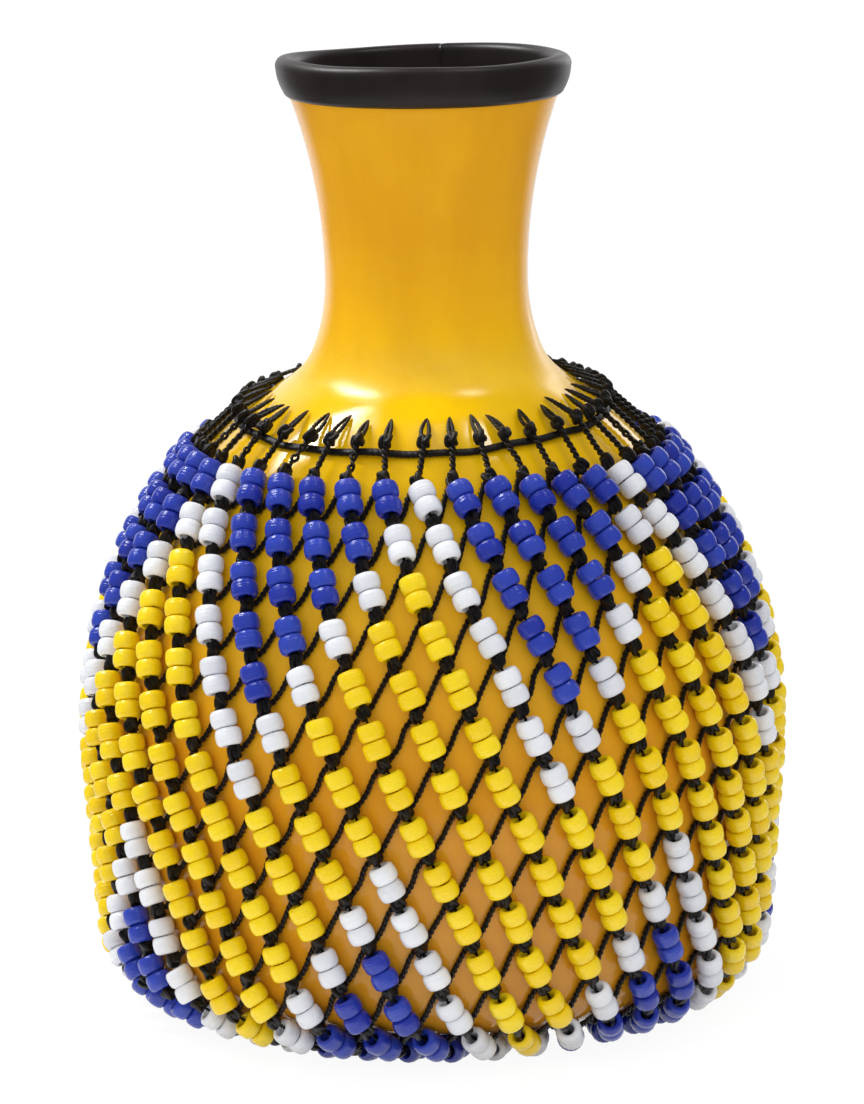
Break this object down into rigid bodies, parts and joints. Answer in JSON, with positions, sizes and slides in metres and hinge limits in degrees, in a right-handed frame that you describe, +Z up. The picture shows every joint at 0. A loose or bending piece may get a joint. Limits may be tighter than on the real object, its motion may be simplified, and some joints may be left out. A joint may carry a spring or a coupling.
{
  "type": "shekere",
  "caption": "Gourd-shaped hand percussion shell with a flared open neck and trimmed rim, wrapped in a loose knotted net of beads in a zigzag pattern.",
  "frame": {"origin": "on the surface it stands on, below the middle of the object", "axes": "+Z up along the shell's axis towards the mouth; -Y is the side pictured"},
  "size_m": [0.2488, 0.2482, 0.3301],
  "materials": {
    "shell_gelcoat": "glossy amber gelcoat over moulded fibreglass",
    "trim_rubber": "smooth black rubber tube, slit and pushed on",
    "cord_nylon": "black twisted nylon cord",
    "bead_white": "glossy opaque moulded bead",
    "bead_blue": "glossy opaque moulded bead",
    "bead_yellow": "glossy opaque moulded bead"
  },
  "bodies": {
    "shell": {"shell": "shell_gelcoat", "rim_trim": "trim_rubber"},
    "net": {"collar_cord": "cord_nylon", "collar_ties": "cord_nylon", "net_cords_row_01": "cord_nylon", "net_cords_row_02": "cord_nylon", "net_cords_row_03": "cord_nylon", "net_cords_row_04": "cord_nylon", "net_cords_row_05": "cord_nylon", "net_cords_row_06": "cord_nylon", "net_cords_row_07": "cord_nylon", "net_cords_row_08": "cord_nylon", "net_cords_row_09": "cord_nylon", "net_cords_row_10": "cord_nylon", "net_cords_row_11": "cord_nylon", "net_cords_row_12": "cord_nylon", "net_cords_row_13": "cord_nylon", "net_cords_row_14": "cord_nylon", "net_cords_row_15": "cord_nylon", "white_beads_row_01": "bead_white", "blue_beads_row_01": "bead_blue", "white_beads_row_02": "bead_white", "blue_beads_row_02": "bead_blue", "white_beads_row_03": "bead_white", "blue_beads_row_03": "bead_blue", "yellow_beads_row_03": "bead_yellow", "white_beads_row_04": "bead_white", "blue_beads_row_04": "bead_blue", "yellow_beads_row_04": "bead_yellow", "white_beads_row_05": "bead_white", "blue_beads_row_05": "bead_blue", "yellow_beads_row_05": "bead_yellow", "white_beads_row_06": "bead_white", "yellow_beads_row_06": "bead_yellow", "white_beads_row_07": "bead_white", "yellow_beads_row_07": "bead_yellow", "yellow_beads_row_08": "bead_yellow", "white_beads_row_09": "bead_white", "yellow_beads_row_09": "bead_yellow", "white_beads_row_10": "bead_white", "yellow_beads_row_10": "bead_yellow", "white_beads_row_11": "bead_white", "blue_beads_row_11": "bead_blue", "yellow_beads_row_11": "bead_yellow", "white_beads_row_12": "bead_white", "blue_beads_row_12": "bead_blue", "yellow_beads_row_12": "bead_yellow", "white_beads_row_13": "bead_white", "blue_beads_row_13": "bead_blue", "yellow_beads_row_13": "bead_yellow", "white_beads_row_14": "bead_white", "blue_beads_row_14": "bead_blue", "white_beads_row_15": "bead_white", "blue_beads_row_15": "bead_blue", "base_cord": "cord_nylon", "base_ties": "cord_nylon"}
  },
  "joints": [
    {"name": "net_turn", "type": "hinge", "parent": "shell", "child": "net", "pos_m": [0, 0, 0], "axis": [0, 0, 1], "continuous": true}
  ]
}
